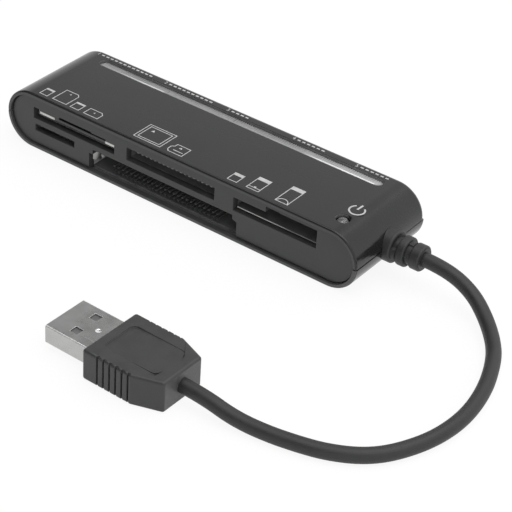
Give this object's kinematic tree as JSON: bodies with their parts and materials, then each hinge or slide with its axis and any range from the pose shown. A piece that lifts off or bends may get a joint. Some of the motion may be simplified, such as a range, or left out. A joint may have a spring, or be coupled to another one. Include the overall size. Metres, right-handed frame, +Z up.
{
  "type": "usb memory card reader",
  "caption": "Slim round-ended desktop reader with memory card slots of several sizes along its front, a light bar on top and a short captive cable ending in a flat plug.",
  "frame": {"origin": "on the table, under the middle of the body", "axes": "+X along the body towards the cable, -Y out of the card slots, +Z up"},
  "size_m": [0.1438, 0.0868, 0.0148],
  "materials": {
    "cover_gloss": "polished black moulding",
    "panel_satin": "satin black moulding",
    "light_guide": "translucent light grey",
    "lamp_lens": "clear lamp lens",
    "board": "green solder resist",
    "socket_plastic": "black moulding",
    "sheet_steel": "bright sheet",
    "tinned_metal": "tinned",
    "contact_metal": "gold flash",
    "chip_ceramic": "matte",
    "boot_rubber": "matte black",
    "cable_jacket": "matte black jacket",
    "plug_grip": "fine matte texture",
    "plug_steel": "bright nickel plate",
    "plug_insulator": "dark grey insert"
  },
  "bodies": {
    "root": {"top_cover": "cover_gloss", "bottom_cover": "cover_gloss", "front_panel": "panel_satin", "standard_socket_nose": "panel_satin", "light_bar": "light_guide", "power_led": "lamp_lens", "bar_leds": "lamp_lens", "circuit_board": "board", "standard_socket_base": "socket_plastic", "micro_socket_base": "socket_plastic", "thin_socket_body": "socket_plastic", "stick_socket_body": "socket_plastic", "wide_header": "socket_plastic", "controller_chip": "socket_plastic", "standard_socket_shell": "sheet_steel", "micro_socket_shell": "sheet_steel", "stick_socket_plate": "sheet_steel", "guide_spring": "sheet_steel", "crystal": "sheet_steel", "led_leads": "tinned_metal", "controller_leads": "tinned_metal", "standard_socket_contacts": "contact_metal", "micro_socket_contacts": "contact_metal", "thin_socket_contacts": "contact_metal", "stick_socket_contacts": "contact_metal", "wide_header_pins": "contact_metal", "plug_contacts": "contact_metal", "capacitors": "chip_ceramic", "resistors": "chip_ceramic", "strain_relief": "boot_rubber", "cable": "cable_jacket", "cable_leads": "cable_jacket", "plug_overmould": "plug_grip", "plug_shell": "plug_steel", "plug_tongue": "plug_insulator"}
  },
  "joints": []
}
